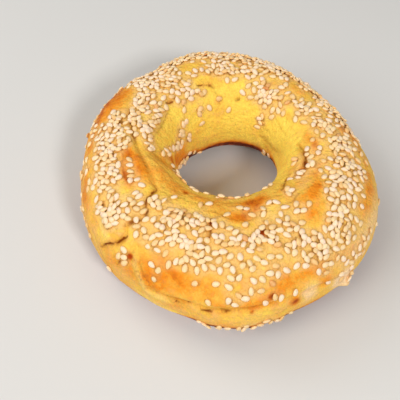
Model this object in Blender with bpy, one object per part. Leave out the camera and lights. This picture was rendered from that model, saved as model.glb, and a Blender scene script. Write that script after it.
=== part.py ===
"""A hand-rolled sesame bagel, one ring of boiled and baked dough with its seeds stuck on.

Metres, +Z up. The origin is on the table, under the middle of the bagel, and -Y is the near
side. A place on the crust is two angles in degrees: `around` goes counter-clockwise from +X
as seen from above, and `over` goes round the roll of dough, 0 on the outside, 90 on the
crown, 180 in the hole and 270 underneath.
"""
import math
import random

import bmesh
import bpy
import numpy as np
from mathutils import Matrix, Vector

MM = 0.001

# Driving sizes of the ring of dough
OUTLINE_RADIUS = 58.8 * MM
HOLE_RADIUS = 17.7 * MM
CROWN_HEIGHT = 35.6 * MM
HOLE_CENTRE = (0.3 * MM, 2.7 * MM)      # the ring is fatter on the near side
WAIST = 0.45                            # the widest level, as a share of the height
TOP_ROUNDNESS = 2.25                    # superellipse powers, 2 is a true ellipse
BASE_ROUNDNESS = 2.7
BASE_SAG = 0.4 * MM                     # how far the dough settled flat on its tray

# Where the hand-rolled ring leaves a circle: (around, spread in degrees, amount)
OUTLINE_SWELLINGS = (
    (32, 45, -9.5 * MM),                # flattened far right side
    (104, 13, 1.0 * MM),
    (126, 10, -2.5 * MM),               # dimple beside the bare far left rim
    (183, 27, -2.6 * MM),
    (274, 17, 3.5 * MM),                # belly of the near side
    (328, 37, 2.3 * MM),
)
HOLE_SWELLINGS = (
    (63, 54, 5.0 * MM),                 # the hole flares to the far right
    (154, 47, 3.0 * MM),
    (263, 20, -1.0 * MM),
)
CROWN_SWELLINGS = (
    (43, 54, -1.2 * MM),
    (271, 82, 0.7 * MM),
)

# Folds of the dough: depth, half width, lip raised on the left of the run, and its run as
# (around, over) turning points
FOLDS = {
    "long_fold": (1.3, 1.5, 0.5, ((225, 88), (223, 100), (207, 107), (192, 106), (176, 99),
                                  (160, 90), (152, 85))),
    "cheek_fold": (1.1, 1.1, 0.3, ((221, 14), (225, 30), (229, 46), (227, 60), (231, 76),
                                   (226, 88))),
    "skirt_fold": (1.4, 1.3, 0.8, ((234, 52), (237, 34), (240, 16), (249, 12), (260, 13),
                                   (271, 16), (282, 17), (291, 10), (302, 6), (314, -4))),
    "near_crease": (0.9, 1.0, 0.2, ((263, 102), (261, 88), (261, 70))),
    "right_tuck": (1.3, 1.3, 0.5, ((318, 128), (330, 118), (341, 115), (354, 121), (8, 131))),
    "right_valley": (0.8, 2.6, 0.0, ((4, 150), (20, 172), (42, 181), (60, 174))),
    "lap_shadow": (1.2, 2.2, 0.0, ((182, 118), (191, 128), (198, 138), (203, 150))),
}
LIP_OFFSET = 2.4                        # from a fold's run to its lip, in half widths
LIP_SPREAD = 1.5                        # and how wide the lip is, in half widths

# Rounded lumps: (around, over, spread, height), spread and height in millimetres
LUMPS = (
    (206, 122, 7.0, 1.4),               # end of the roll, lapped over the left of the hole
    (232, 95, 6.0, 0.7),
    (300, 108, 8.0, 0.9),               # ridge in front of the hole
    (286, 92, 4.5, -0.6),
    (322, 88, 7.0, 0.8),
    (155, 58, 6.0, 0.8),                # bare rim of the far left
    (270, 0, 9.0, 0.8),                 # lower band under the skirt fold
    (248, -4, 7.0, 0.6),
    (313, -8, 2.6, 2.4),                # nub pulled from the near right edge
    (350, 60, 8.0, -0.7),
    (38, 92, 7.0, -0.6),
)

# Seeds, millimetres
SEED_LENGTH = 3.2
SEED_WIDTH = 2.1
SEED_THICKNESS = 1.25
SEED_NARROWING = 0.35                   # share of the width lost toward the pointed end
SEED_SIZES = (0.9, 1.08)                # least and most size of one seed beside the usual
SEED_TILT = 0.12                        # usual lean out of the crust, in radians
SEED_LIFT = 0.12                        # a seed's middle stands this far off the crust
SEED_GAP = 3.4                          # least distance between seed middles
SEED_COUNT = 190
SEED_DRAWS = 9000
SEED_LEVELS = (-40.0, 190.0)            # lowest outside to lowest inside, as `over`
SEED_CLEARANCE = 0.6                    # least height of a seed's middle, in seed lengths
RANDOM_SEED = 7

# Where the seeds stuck: (around, over, spread around, spread over, how thickly 0 to 1)
SEEDED = (
    (172, 62, 40, 36, 1.0),
    (140, 98, 28, 28, 1.0),
    (95, 74, 42, 30, 0.9),
    (60, 112, 14, 30, 0.7),
    (20, 78, 45, 26, 0.85),
    (345, 78, 28, 30, 0.8),
    (312, 52, 24, 36, 0.75),
    (272, 76, 45, 20, 0.9),
    (225, 62, 22, 28, 0.65),
    (275, 36, 40, 18, 0.2),
    (80, 28, 110, 34, 0.5),
)
BARE = (
    (155, 62, 12, 14),
    (200, 98, 16, 9),
    (318, 92, 10, 8),
    (247, 28, 12, 16),
)

# Mesh fineness
RING_STEPS = 216
ROLL_STEPS = 72
CRUST_TRIANGLE_SHARE = 0.12             # what Decimate keeps of the kneaded torus
TORUS_MAJOR = 38.0 * MM
TORUS_MINOR = 19.0 * MM
NORMAL_STEP = 0.25                      # degrees to either side when a normal is worked out
RUN_STEPS = 12                          # steps of a fold's run between two turning points
SHARP_ANGLE = 40.0                      # degrees, a steeper edge shows as an edge
TABLE_SLAB = 200.0 * MM                 # block that cuts the underside level

CRUST_COLOUR = (0.80, 0.45, 0.12)
CRUST_ROUGHNESS = 0.55


def angle_apart(first, second):
    """Signed difference of two angles in degrees, between -180 and 180."""
    return (first - second + 180.0) % 360.0 - 180.0


def swollen(base, swellings, around):
    """A size of the ring at `around`, its base value plus the swellings that reach there."""
    size = np.full(around.shape, base)
    for centre, spread, amount in swellings:
        size += amount * np.exp(-(angle_apart(around, centre) / spread) ** 2)
    return size


def bare_roll(around, over):
    """Points of the ring of dough before its folds, as an array of rows."""
    outline = swollen(OUTLINE_RADIUS, OUTLINE_SWELLINGS, around)
    hole = swollen(HOLE_RADIUS, HOLE_SWELLINGS, around)
    height = swollen(CROWN_HEIGHT + BASE_SAG, CROWN_SWELLINGS, around)
    across = np.cos(np.radians(over))
    upward = np.sin(np.radians(over))
    power = np.where(upward > 0, TOP_ROUNDNESS, BASE_ROUNDNESS)
    reach = np.where(upward > 0, 1.0 - WAIST, WAIST) * height
    half_width = (outline - hole) / 2.0
    radius = (outline + hole) / 2.0
    radius += half_width * np.sign(across) * np.abs(across) ** (2.0 / TOP_ROUNDNESS)
    level = WAIST * height + np.sign(upward) * reach * np.abs(upward) ** (2.0 / power)
    turn = np.radians(around)
    return np.stack((HOLE_CENTRE[0] + radius * np.cos(turn),
                     HOLE_CENTRE[1] + radius * np.sin(turn),
                     level - BASE_SAG), axis=-1)


def outward(around, over):
    """Unit normals of the bare roll."""
    along = bare_roll(around + NORMAL_STEP, over) - bare_roll(around - NORMAL_STEP, over)
    across = bare_roll(around, over + NORMAL_STEP) - bare_roll(around, over - NORMAL_STEP)
    normal = np.cross(along, across)
    return normal / np.linalg.norm(normal, axis=-1, keepdims=True)


def smooth_run(turning_points):
    """A Catmull-Rom run through (around, over) points, with around kept unbroken."""
    points = [np.array(turning_points[0], float)]
    for around, over in turning_points[1:]:
        before = points[-1][0]
        points.append(np.array((before + angle_apart(around, before), over)))
    padded = [2 * points[0] - points[1]] + points + [2 * points[-1] - points[-2]]
    run = []
    for p0, p1, p2, p3 in zip(padded, padded[1:], padded[2:], padded[3:]):
        for u in np.linspace(0.0, 1.0, RUN_STEPS, endpoint=False):
            run.append(0.5 * (2 * p1 + (p2 - p0) * u + (2 * p0 - 5 * p1 + 4 * p2 - p3) * u * u
                              + (3 * p1 - p0 - 3 * p2 + p3) * u ** 3))
    run.append(points[-1])
    return np.array(run)


def fold_relief(points, normals, fold):
    """Depth of one fold at each point: a groove with a lip on its left, fading at its ends."""
    depth, half_width, lip, turning_points = fold
    run = smooth_run(turning_points)
    path = bare_roll(run[:, 0], run[:, 1]) / MM
    heading = np.gradient(path, axis=0)
    heading /= np.linalg.norm(heading, axis=1, keepdims=True)
    offsets = points[:, None, :] / MM - path[None, :, :]
    squared = (offsets ** 2).sum(axis=2)
    nearest = squared.argmin(axis=1)
    distance = np.sqrt(squared[np.arange(len(points)), nearest])
    offset = offsets[np.arange(len(points)), nearest]
    left = np.sign((np.cross(normals, heading[nearest]) * offset).sum(axis=1))
    fade = np.sin(np.pi * np.linspace(0.04, 0.96, len(run))) ** 0.5
    groove = -depth * np.exp(-(distance / half_width) ** 2)
    beside_lip = (left * distance / half_width - LIP_OFFSET) / LIP_SPREAD
    bulge = lip * np.exp(-beside_lip ** 2)
    return MM * fade[nearest] * (groove + bulge)


def lump_relief(points, lump):
    """Height of one rounded lump or dent at each point."""
    around, over, spread, height = lump
    centre = bare_roll(np.array([float(around)]), np.array([float(over)]))
    distance = np.linalg.norm(points - centre, axis=1) / MM
    return MM * height * np.exp(-(distance / spread) ** 2)


def crust_surface(around, over):
    """Points and normals of the crust with its folds and lumps."""
    points = bare_roll(around, over)
    normals = outward(around, over)
    relief = np.zeros(len(points))
    for fold in FOLDS.values():
        relief += fold_relief(points, normals, fold)
    for lump in LUMPS:
        relief += lump_relief(points, lump)
    return points + normals * relief[:, None], normals


def add_material(item, name, colour, roughness):
    """Give the object its own plain surface."""
    material = bpy.data.materials.new(name)
    material.use_nodes = True
    shader = material.node_tree.nodes["Principled BSDF"]
    shader.inputs["Base Color"].default_value = (*colour, 1.0)
    shader.inputs["Roughness"].default_value = roughness
    shader.inputs["Metallic"].default_value = 0.0
    item.data.materials.append(material)


def apply_modifiers(item):
    """Replace the object's mesh with what its modifiers make of it."""
    evaluated = item.evaluated_get(bpy.context.evaluated_depsgraph_get())
    finished = bpy.data.meshes.new_from_object(evaluated)
    item.modifiers.clear()
    item.data = finished


def knead_torus(parts):
    """The ring of dough: a torus pressed into the hand-rolled shape, then thinned out."""
    bpy.ops.mesh.primitive_torus_add(major_segments=RING_STEPS, minor_segments=ROLL_STEPS,
                                     major_radius=TORUS_MAJOR, minor_radius=TORUS_MINOR)
    dough = bpy.context.object
    dough.name = "bagel"
    for home in dough.users_collection:
        home.objects.unlink(dough)
    parts.objects.link(dough)
    flat = np.empty(len(dough.data.vertices) * 3, dtype=np.float32)
    dough.data.vertices.foreach_get("co", flat)
    x, y, z = flat.reshape(-1, 3).astype(float).T
    around = np.degrees(np.arctan2(y, x)) % 360.0
    over = np.degrees(np.arctan2(z, np.hypot(x, y) - TORUS_MAJOR))
    points, _ = crust_surface(around, over)
    dough.data.vertices.foreach_set("co", points.astype(np.float32).ravel())
    dough.data.update()
    thinning = dough.modifiers.new("thinning", "DECIMATE")
    thinning.ratio = CRUST_TRIANGLE_SHARE
    apply_modifiers(dough)
    return dough


def flatten_base(dough, cutters):
    """Cut the sagged underside off level with the table, which leaves a flat ring to rest on."""
    bpy.ops.mesh.primitive_cube_add(size=TABLE_SLAB, location=(0, 0, -TABLE_SLAB / 2))
    slab = bpy.context.object
    slab.name = "table_cutter"
    slab.hide_render = True
    slab.display_type = "WIRE"
    for home in slab.users_collection:
        home.objects.unlink(slab)
    cutters.objects.link(slab)
    cut = dough.modifiers.new("flat_base", "BOOLEAN")
    cut.operation = "DIFFERENCE"
    cut.object = slab
    apply_modifiers(dough)
    bpy.data.objects.remove(slab)


def seed_cover(around, over):
    """How thickly the seeds cover a place, from 0 to 1."""
    cover = 0.0
    for centre, level, spread, rise, amount in SEEDED:
        far = (angle_apart(around, centre) / spread) ** 2 + (angle_apart(over, level) / rise) ** 2
        cover = max(cover, amount * math.exp(-far * far))
    for centre, level, spread, rise in BARE:
        far = (angle_apart(around, centre) / spread) ** 2 + (angle_apart(over, level) / rise) ** 2
        cover *= 1.0 - math.exp(-far * far)
    return cover


def choose_seed_places(draw):
    """Places for the seeds, spread evenly where the cover is thick: (point, normal) pairs."""
    around = np.array([draw.uniform(0.0, 360.0) for _ in range(SEED_DRAWS)])
    over = np.array([draw.uniform(*SEED_LEVELS) for _ in range(SEED_DRAWS)])
    points, normals = crust_surface(around, over)
    lowest = SEED_CLEARANCE * SEED_LENGTH * MM
    chosen = []
    for index in range(SEED_DRAWS):
        if len(chosen) == SEED_COUNT:
            break
        if points[index][2] < lowest:
            continue
        if draw.random() > seed_cover(around[index], over[index]):
            continue
        place = Vector(points[index])
        if all((place - other).length > SEED_GAP * MM for other, _ in chosen):
            chosen.append((place, Vector(normals[index])))
    return chosen


def add_seed(number, place, normal, draw, seeds):
    """One plump teardrop seed lying on the crust, half sunk, turned any way."""
    size = draw.uniform(*SEED_SIZES) * MM
    shape = bmesh.new()
    bmesh.ops.create_icosphere(shape, subdivisions=1, radius=0.5)
    for vertex in shape.verts:
        narrowing = 1.0 - SEED_NARROWING * vertex.co.x
        vertex.co = Vector((vertex.co.x * SEED_LENGTH,
                            vertex.co.y * SEED_WIDTH * narrowing,
                            vertex.co.z * SEED_THICKNESS * narrowing)) * size
    upright = normal.to_track_quat("Z", "Y").to_matrix().to_4x4()
    turn = Matrix.Rotation(draw.uniform(0.0, math.tau), 4, "Z")
    tilt = Matrix.Rotation(draw.gauss(0.0, SEED_TILT), 4, "Y")
    where = Matrix.Translation(place + normal * SEED_LIFT * MM)
    bmesh.ops.transform(shape, matrix=where @ upright @ turn @ tilt, verts=shape.verts)
    mesh = bpy.data.meshes.new(f"seed_{number:03d}")
    shape.to_mesh(mesh)
    shape.free()
    seeds.objects.link(bpy.data.objects.new(mesh.name, mesh))


def stick_seeds(dough):
    """Fuse the seeds to the crust, so that bread and seeds are one closed solid."""
    seeds = bpy.data.collections.new("loose_seeds")
    bpy.context.scene.collection.children.link(seeds)
    draw = random.Random(RANDOM_SEED)
    for number, (place, normal) in enumerate(choose_seed_places(draw)):
        add_seed(number, place, normal, draw, seeds)
    fuse = dough.modifiers.new("stuck_seeds", "BOOLEAN")
    fuse.operation = "UNION"
    fuse.operand_type = "COLLECTION"
    fuse.collection = seeds
    apply_modifiers(dough)
    for seed in list(seeds.objects):
        bpy.data.objects.remove(seed)
    bpy.data.collections.remove(seeds)


def build():
    """Model the bagel from an empty scene."""
    for item in list(bpy.data.objects):
        bpy.data.objects.remove(item)
    parts = bpy.data.collections.new("sesame_bagel")
    cutters = bpy.data.collections.new("cutters")
    bpy.context.scene.collection.children.link(parts)
    bpy.context.scene.collection.children.link(cutters)
    dough = knead_torus(parts)
    flatten_base(dough, cutters)
    stick_seeds(dough)
    dough.data.name = "bagel"
    dough.data.shade_smooth()
    dough.data.set_sharp_from_angle(angle=math.radians(SHARP_ANGLE))
    dough.data.materials.clear()
    add_material(dough, "baked_crust", CRUST_COLOUR, CRUST_ROUGHNESS)


build()
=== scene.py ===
"""A hand-rolled sesame bagel: its baked crust and its seeds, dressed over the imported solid.

Metres, +Z up, -Y is the near side. A place on the crust is two angles in degrees: `around`
goes counter-clockwise from +X as seen from above, and `over` goes round the roll of dough,
0 on the outside, 90 on the crown, 180 in the hole and 270 underneath.
"""
import math
import random

import bmesh
import bpy
import numpy as np
from mathutils import Matrix, Vector, kdtree, noise


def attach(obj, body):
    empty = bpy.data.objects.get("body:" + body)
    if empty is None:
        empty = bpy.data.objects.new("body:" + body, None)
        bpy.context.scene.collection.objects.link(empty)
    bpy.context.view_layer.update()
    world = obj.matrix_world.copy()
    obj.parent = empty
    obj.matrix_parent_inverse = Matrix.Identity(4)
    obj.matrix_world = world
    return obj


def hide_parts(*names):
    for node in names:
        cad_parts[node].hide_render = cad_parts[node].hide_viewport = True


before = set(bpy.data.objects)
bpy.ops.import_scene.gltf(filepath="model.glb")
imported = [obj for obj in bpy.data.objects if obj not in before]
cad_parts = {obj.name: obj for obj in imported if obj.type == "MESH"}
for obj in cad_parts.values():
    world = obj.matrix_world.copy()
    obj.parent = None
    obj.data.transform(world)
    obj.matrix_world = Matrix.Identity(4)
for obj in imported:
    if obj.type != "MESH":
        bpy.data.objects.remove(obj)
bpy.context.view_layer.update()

bl_info = {
    "name": "Sesame bagel",
    "version": (1, 0, 0),
    "blender": (4, 5, 0),
    "location": "View3D > Sidebar > Bagel",
    "description": "Bakes a hand-rolled sesame bagel, crust and seeds",
    "category": "Add Mesh",
}

MM = 0.001


# ---------------------------------------------------------------- the ring of dough

OUTLINE_RADIUS = 58.8 * MM
HOLE_RADIUS = 17.7 * MM
CROWN_HEIGHT = 35.6 * MM
HOLE_CENTRE = (0.3 * MM, 2.7 * MM)      # the ring is fatter on the near side
WAIST = 0.45                            # the widest level, as a share of the height
TOP_ROUNDNESS = 2.25                    # superellipse powers, 2 is a true ellipse
BASE_ROUNDNESS = 2.7
BASE_SAG = 0.4 * MM                     # how far the dough settled flat on its tray
BASE_RIM = 1.0 * MM                     # no seed or crack marks the skin below this height

# Spacing of the mesh: shares of its steps, and the angles they reach; `around` is finer at the
# near left, and `over` is wider on the hidden base
AROUND_SPACING = ((0.0, 0.30, 0.86, 1.0), (0.0, 140.0, 310.0, 360.0))
OVER_SPACING = ((0.0, 0.06, 0.94, 1.0), (-90.0, -50.0, 230.0, 270.0))
MERGE_DISTANCE = 0.001 * MM             # joins the sheet's edges and nothing else

# Unevenness of the dough from broad to fine: height and size in mm, and where its noise starts
UNEVENNESS = ((0.30, 11, 3.1), (0.13, 4.2, 8.7), (0.08, 1.9, 5.3))
TEAR_SIZE = 1.4 * MM
TEAR_START = 6.4
LEAST_TEAR = 0.01

# How abruptly a patch ends, 1 being the softest
PATCH_SHARPNESS = 1.5
SEEDED_SHARPNESS = 1.3
BARE_SHARPNESS = 2.0

# Where the hand-rolled ring leaves a circle: (around, spread in degrees, amount)
OUTLINE_SWELLINGS = (
    (32, 45, -9.5 * MM),                # flattened far right side
    (104, 13, 1.0 * MM),
    (126, 10, -2.5 * MM),               # dimple beside the bare far left rim
    (183, 27, -2.6 * MM),
    (274, 17, 3.5 * MM),                # belly of the near side
    (328, 37, 2.3 * MM),
)
HOLE_SWELLINGS = (
    (63, 54, 5.0 * MM),                 # the hole flares to the far right
    (154, 47, 3.0 * MM),
    (263, 20, -1.0 * MM),
)
CROWN_SWELLINGS = (
    (43, 54, -1.2 * MM),
    (271, 82, 0.7 * MM),
)

# Folds: depth, half width, lip raised on the left of the run (all mm), and the run as
# (around, over) turning points; the reach and the lip's place and width are in half widths
FOLD_REACH = 6.0
LIP_PLACE = 2.4
LIP_WIDTH = 1.5
FOLDS = {
    "long_fold": (0.7, 1.0, 0.5, ((225, 88), (223, 100), (207, 107), (192, 106), (176, 99),
                                  (160, 90), (152, 85))),
    "cheek_fold": (0.8, 0.9, 0.3, ((221, 14), (225, 30), (229, 46), (227, 60), (231, 76),
                                   (226, 88))),
    "skirt_seam": (0.4, 0.8, 0.2, ((234, 52), (235, 40), (238, 24), (241, 12), (245, 6))),
    "skirt_fold": (1.3, 1.2, 0.7, ((243, 8), (249, 8), (256, 11), (264, 12), (271, 16),
                                   (282, 16), (291, 12), (302, 8), (314, -4))),
    "near_crease": (0.4, 0.8, 0.2, ((263, 102), (261, 88), (261, 70))),
    "right_tuck": (1.0, 0.8, 0.5, ((318, 128), (330, 118), (341, 115), (354, 121), (8, 131))),
    "right_valley": (0.8, 2.6, 0.0, ((4, 150), (20, 172), (42, 181), (60, 174))),
    "lap_shadow": (1.0, 2.8, 0.0, ((182, 118), (191, 128), (198, 138), (203, 150))),
}

# Ragged pale ridges where the skin was pulled: height, half width (mm), and the run
RIDGES = {
    "skirt_ridge": (0.55, 1.3, ((235, 44), (237, 28), (240, 15), (242, 5), (247, 4), (253, 7))),
    "skirt_lip": (0.30, 1.0, ((236, -2), (242, -7), (249, -9), (256, -11))),
    "cheek_ridge": (0.30, 1.0, ((216, 40), (220, 34), (224, 36))),
}
RIDGE_PALENESS = 0.35                   # how much less toasted the skin is on a ridge

# Thin cracks and creases in the skin: strength, 1 being a full crack, and the run
CREASE_REACH = 2.5                      # mm to either side that a crease is kept track of
CREASE_HALF_WIDTH = 0.6                 # mm
CREASES = (
    # the long fold of the left crown, its edge and its spur
    (0.9, ((157, 87), (161, 90), (168, 94), (176, 99), (184, 103))),
    (0.25, ((180, 102), (192, 106), (202, 108), (214, 107), (222, 101))),
    (1.10, ((218, 103), (223, 101), (224, 94), (226, 87), (230, 80), (232, 76))),
    (0.35, ((188, 90), (195, 88), (203, 86), (209, 84))),
    (0.35, ((224, 101), (230, 104), (236, 108))),
    # near left cheek
    (0.85, ((232, 76), (229, 69), (227, 62), (226, 55))),
    (1.4, ((230, 53), (229, 48), (228, 43), (227, 37), (226, 34))),
    (1.25, ((226, 33), (224, 29), (222, 23), (220, 13))),
    (0.80, ((231, 24), (230, 18), (229, 12))),
    # near crown
    (0.85, ((262, 98), (261, 91), (262, 84), (260, 74), (261, 68))),
    # left end of the skirt fold, and wrinkles of the left flank
    (0.25, ((234, 46), (235, 34), (237, 22), (239, 12), (241, 4), (246, 1))),
    (0.35, ((238, 42), (239, 32), (241, 24), (244, 15), (248, 10))),
    (0.35, ((205, 24), (210, 14), (216, 4))), (0.35, ((195, 31), (202, 22), (207, 10))),
    (0.30, ((185, 36), (191, 27), (197, 14))), (0.30, ((214, 20), (219, 10), (223, -2))),
    # along the skirt fold
    (2.2, ((249, 9), (252, 10), (254, 11), (258, 11))), (1.1, ((250, 6), (253, 7), (256, 8))),
    (1.4, ((261, 7), (263, 8), (265, 10))), (1.1, ((267, 13), (269, 13), (271, 14))),
    (0.30, ((260, 11), (266, 12), (271, 15), (276, 16), (282, 16), (288, 13))),
    # the tuck of the right crown
    (1.0, ((6, 129), (356, 121), (349, 117), (341, 115), (335, 115), (327, 119))),
    (0.85, ((325, 127), (321, 126), (316, 121), (308, 113))),
    # crown in front of the hole, and far right crown
    (0.45, ((298, 99), (307, 97), (314, 100), (326, 95))),
    (0.40, ((252, 101), (262, 104), (270, 99), (280, 97), (290, 99))),
    (0.25, ((18, 140), (34, 142), (48, 134), (56, 120))),
    # pocket, lap and twists to the left of the hole, and its near rim
    (0.60, ((140, 121), (148, 125), (156, 127), (164, 126), (172, 122))),
    (0.20, ((180, 114), (192, 125), (199, 136), (203, 152))),
    (0.30, ((184, 107), (194, 114), (207, 122), (222, 128), (236, 130))),
    (0.20, ((182, 110), (194, 119), (206, 127), (222, 134))),
    (0.22, ((238, 118), (250, 122), (263, 119), (276, 121), (290, 118))),
    # nicks and wrinkles in the wall of the hole
    (1.3, ((134, 117), (137, 114), (140, 112))), (0.9, ((100, 119), (103, 115), (105, 114))),
    (1.0, ((108, 112), (110, 111), (113, 110))), (1.0, ((80, 133), (82, 134), (85, 136))),
    (0.25, ((96, 112), (100, 124), (98, 138), (102, 150))),
    (0.30, ((74, 108), (70, 122), (73, 138))),
    (0.40, ((112, 108), (108, 111), (104, 114), (99, 117))),
    # far, right and left flanks
    (0.45, ((66, 10), (80, 14), (96, 10), (112, 12), (124, 6))),
    (0.55, ((132, 34), (129, 26), (131, 18), (128, 10))), (0.45, ((46, 30), (50, 22), (48, 12))),
    (0.40, ((338, 8), (350, 4), (4, 7), (16, 2))), (0.50, ((356, 34), (353, 26), (355, 16))),
    (0.40, ((176, 26), (172, 18), (174, 8))),
    # fine wrinkles of the crown
    (0.25, ((118, 96), (114, 86), (116, 74))), (0.30, ((286, 96), (290, 86), (284, 76))),
    (0.30, ((318, 84), (324, 74), (322, 62))),
)

# Rounded lumps: (around, over, spread, height), spread and height in millimetres
LUMPS = (
    # end of the roll, lapped over the left of the hole
    (206, 122, 7.0, 1.4),
    # crown: the ridge in front of the hole and its neighbours
    (232, 95, 6.0, 0.7), (300, 108, 8.0, 0.9), (286, 92, 4.5, -0.6), (322, 88, 7.0, 0.8),
    # bare rim of the far left, lower band and the nub pulled from the near right edge
    (155, 58, 6.0, 0.8), (270, 0, 9.0, 0.8), (248, -4, 7.0, 0.6), (312, -8, 2.0, 2.4),
    # dips of the right side
    (350, 60, 8.0, -0.7), (38, 92, 7.0, -0.6),
)

# Burst bubbles and scorched specks: (around, over, radius mm, depth mm, toast added)
PITS = (
    # wall of the hole
    (137, 114, 0.9, 0.7, 0.2), (104, 114, 0.5, 0.4, 0.1), (110, 111, 0.5, 0.4, 0.1),
    (82, 134, 0.5, 0.3, 0.12),
    # near flank and crown
    (234, 34, 1.1, 0.5, 0.66), (292, 3.5, 1.5, 0.45, 0.36), (277, 12, 0.6, 0.2, 0.4),
    (283, 26, 0.8, 0.2, 0.4), (285, 85, 1.4, 0.3, 0.6), (261, 93, 1.0, 0.3, 0.4),
    (335, 115, 1.0, 0.3, 0.5), (237, 121, 0.9, 0.5, 0.4), (342, 115, 0.8, 0.4, 0.35),
    (328, 127, 0.7, 0.3, 0.2),
    # pores along the pale ridge
    (238, 23, 0.5, 0.3, 0.22), (240, 16, 0.5, 0.3, 0.2), (239, 19, 0.4, 0.2, 0.16),
    (242, 8, 0.5, 0.3, 0.2), (236, 33, 0.5, 0.3, 0.2),
)

# Rough strips where the skin tore: (around, over, spread, rise, height in mm)
TORN = (
    # near left cheek, along the skirt fold
    (238, 28, 3, 22, 0.45), (246, 8, 9, 4, 0.3), (232, 20, 3, 10, 0.25),
    # near flank and near crease
    (292, 8, 4, 4, 0.25), (285, 26, 3, 5, 0.2), (262, 88, 2, 14, 0.25),
)

# How brown the crust baked, from 0 yellow through golden and orange to 1 dark: by `over`
TOAST_BY_LEVEL = ((-90, 0.88), (-40, 0.90), (-20, 0.94), (-14, 0.60), (-9, 0.38), (5, 0.32),
                  (40, 0.36), (80, 0.34), (100, 0.28), (120, 0.17), (165, 0.10), (182, 0.12),
                  (188, 0.24), (193, 0.50), (198, 0.84), (203, 1.0), (232, 1.0), (270, 0.88))
# and patches that baked darker or stayed paler, some of them painted shade and painted light as
# noted at their groups: (around, over, spread, rise, toast added)
TOAST_PATCHES = (
    # bare patches beside the long fold, and one on the left flank
    (200, 99, 13, 9, 0.34), (204, 87, 9, 4, 0.4), (204, 86, 3, 3, 0.08), (190, 93, 7, 5, 0.27),
    (194, 38, 5, 5, 0.2),
    # valley beside the hole: browner crust, darkened further as painted shade of the deep valley
    (194, 140, 16, 13, 0.28), (206, 122, 26, 15, 0.22), (174, 150, 14, 13, 0.2),
    (166, 136, 10, 12, 0.08), (226, 112, 12, 8, 0.08),
    # lower edge of the hole
    (140, 195, 13, 9, 0.52), (155, 184, 12, 9, 0.62), (169, 171, 12, 8, 0.44),
    (184, 158, 12, 8, 0.34), (38, 192, 12, 8, 0.3), (80, 200, 26, 5, 0.12),
    # bare far left rim, and the paler wall inside it
    (153, 62, 11, 16, 0.28), (153, 45, 13, 9, 0.27), (152, 128, 20, 26, -0.07),
    # near left cheek and left flank
    (247, 32, 12, 22, 0.22), (254, 3, 4, 4, 0.14), (253, 10, 4, 3, 0.2), (232, 18, 8, 10, 0.12),
    (247, 50, 5, 6, 0.12), (200, 30, 6, 8, 0.24), (172, 46, 11, 10, 0.24),
    (196, 12, 30, 20, 0.1),
    # in front of the hole
    (288, 115, 10, 9, 0.34), (277, 102, 10, 6, 0.34),
    # right lobe, between the hole and the tuck
    (326, 112, 24, 13, 0.16), (340, 128, 14, 12, 0.1), (352, 150, 9, 9, 0.12),
    # left and near rim of the hole, and a place by the long fold
    (182, 150, 8, 9, 0.16), (150, 170, 9, 8, 0.34), (268, 122, 44, 16, 0.2),
    (250, 131, 32, 8, -0.09), (212, 90, 10, 10, 0.07),
    # near flank, skirt and nub, and the crown above them
    (288, 35, 6, 10, 0.16), (282, 26, 4, 5, 0.18), (275, 22, 12, 5, 0.12),
    (274, 38, 28, 18, 0.09), (231, 32, 8, 14, -0.08), (291, 6, 2, 5, 0.34),
    (301, 28, 6, 12, 0.12), (303, 35, 8, 6, 0.18), (314, 27, 6, 7, 0.24),
    (297, 10, 5, 12, -0.14), (302, 12, 3, 9, 0.26), (291, 39, 6, 6, -0.12),
    (275, 98, 5, 4, 0.24), (288, 105, 6, 5, 0.16), (280, 16, 6, 3, 0.24), (222, 28, 5, 6, -0.12),
    # near right crown
    (319, 93, 10, 5, 0.36), (311, 84, 9, 7, 0.16), (337, 99, 7, 4, 0.2),
    # right flank and right crown
    (335, 50, 9, 10, 0.16), (345, 44, 8, 8, 0.14), (356, 105, 8, 6, 0.3), (6, 113, 7, 6, 0.24),
    (34, 121, 6, 5, 0.2), (57, 98, 8, 5, 0.18), (10, 66, 8, 7, 0.32), (5, 52, 9, 9, 0.28),
    # broad places of the near and right sides, most of them paler; on the right flank the paler
    # skin is painted light that lifts its shade
    (213, 72, 8, 12, -0.12), (224, 76, 6, 9, -0.08), (292, 62, 12, 12, -0.06),
    (262, 64, 6, 8, -0.08), (270, 4, 20, 7, -0.02), (285, 0, 40, 12, 0.03),
    (345, 26, 22, 14, -0.08), (350, 56, 18, 22, -0.07), (310, 52, 12, 12, -0.08),
    (311, -5, 5, 9, -0.34), (200, 60, 30, 30, 0.05),
    # far flank and far right edge
    (90, 24, 100, 24, 0.12), (60, 28, 10, 12, 0.24), (112, 34, 8, 7, 0.2), (76, 18, 9, 5, 0.22),
    (98, 62, 34, 14, 0.12), (100, 22, 12, 8, 0.22), (130, 14, 9, 12, 0.2), (84, 6, 14, 6, 0.16),
    (26, 22, 9, 12, 0.22), (22, 65, 5, 5, 0.34), (14, 50, 6, 6, 0.34), (0, 104, 7, 5, 0.08),
    # walls of the hole, right and far; the right wall is paler as painted light that lifts the
    # shade in the hole
    (22, 148, 45, 26, -0.12), (30, 170, 16, 12, -0.08), (75, 188, 42, 8, -0.12),
    (70, 110, 14, 14, -0.07),
    # places on the flanks and on the rim of the hole
    (337, 34, 7, 8, 0.2), (164, 168, 6, 6, 0.12), (129, 188, 7, 9, 0.14), (172, 16, 10, 12, 0.2),
    (358, 14, 12, 8, 0.18),
    # browned between the seeds of the lowest row
    (289, -16, 6, 5, 0.5), (270, -14, 12, 7, 0.72),
)
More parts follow.
